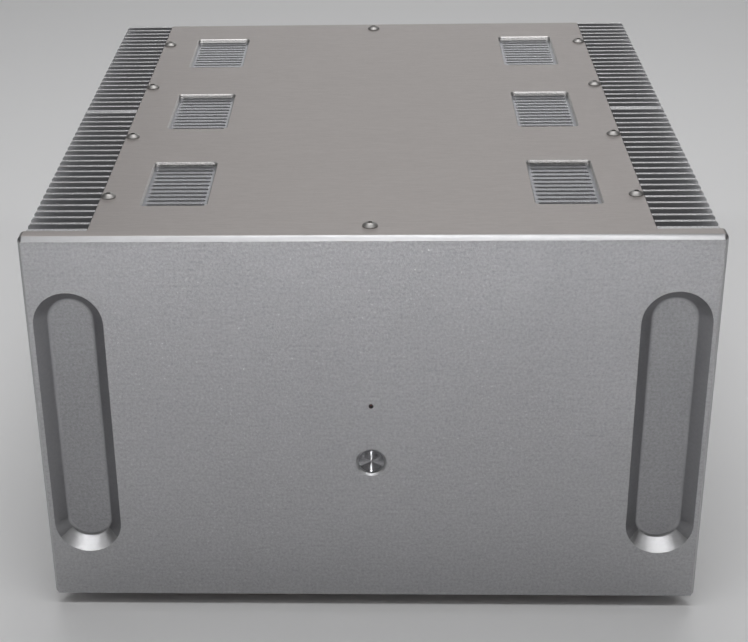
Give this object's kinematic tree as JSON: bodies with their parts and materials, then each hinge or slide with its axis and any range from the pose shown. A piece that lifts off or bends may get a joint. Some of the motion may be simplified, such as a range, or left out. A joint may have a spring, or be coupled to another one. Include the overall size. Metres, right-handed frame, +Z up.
{
  "type": "amplifier chassis",
  "caption": "Empty power amplifier chassis: thick front plate with two grip recesses, finned heatsink sides, slotted top cover, turned feet and a sprung power button.",
  "frame": {"origin": "on the surface under the feet, at the middle of the width and of the depth", "axes": "+X to the right seen from the front, +Y to the back (the front plate faces -Y), +Z up"},
  "size_m": [0.43, 0.4568, 0.2766],
  "materials": {
    "front_aluminium": "fine bead-blasted, clear anodised, satin",
    "cover_aluminium": "fine bead-blasted, grey anodised, satin",
    "heatsink_aluminium": "extruded, grey anodised, saw-cut ends",
    "plain_aluminium": "plain milled",
    "button_aluminium": "turned face",
    "foot_aluminium": "turned, anodised",
    "steel": "stainless",
    "tinned_brass": "tinned",
    "black_plastic": "moulded",
    "lamp_plastic": "clear dark red",
    "rubber": "matt"
  },
  "bodies": {
    "chassis": {"front_plate": "front_aluminium", "top_cover": "cover_aluminium", "bottom_plate": "cover_aluminium", "rear_panel": "cover_aluminium", "button_housing": "plain_aluminium", "heatsink_left_front": "heatsink_aluminium", "heatsink_left_rear": "heatsink_aluminium", "heatsink_right_front": "heatsink_aluminium", "heatsink_right_rear": "heatsink_aluminium", "front_top_bar": "plain_aluminium", "front_bottom_bar": "plain_aluminium", "rear_top_bar": "plain_aluminium", "rear_bottom_bar": "plain_aluminium", "joining_plate_left": "plain_aluminium", "joining_plate_right": "plain_aluminium", "top_cover_screws": "steel", "bottom_plate_screws": "steel", "front_plate_screws": "steel", "bar_end_screws": "steel", "joining_screws": "steel", "rear_panel_screws": "steel", "foot_screws": "steel", "housing_screws": "steel", "button_spring": "steel", "power_switch": "black_plastic", "switch_tabs": "tinned_brass", "indicator_lamp": "lamp_plastic", "lamp_holder": "black_plastic", "lamp_leads": "steel", "foot_front_left": "foot_aluminium", "foot_pad_front_left": "rubber", "foot_front_right": "foot_aluminium", "foot_pad_front_right": "rubber", "foot_rear_left": "foot_aluminium", "foot_pad_rear_left": "rubber", "foot_rear_right": "foot_aluminium", "foot_pad_rear_right": "rubber"},
    "button": {"power_button": "button_aluminium"}
  },
  "joints": [
    {"name": "button_press", "type": "slide", "parent": "chassis", "child": "button", "axis": [0, 1, 0], "range_m": [0, 0.003], "stiffness_N_per_m": 500, "springref_m": -0.002, "deforming": ["button_spring"]}
  ]
}
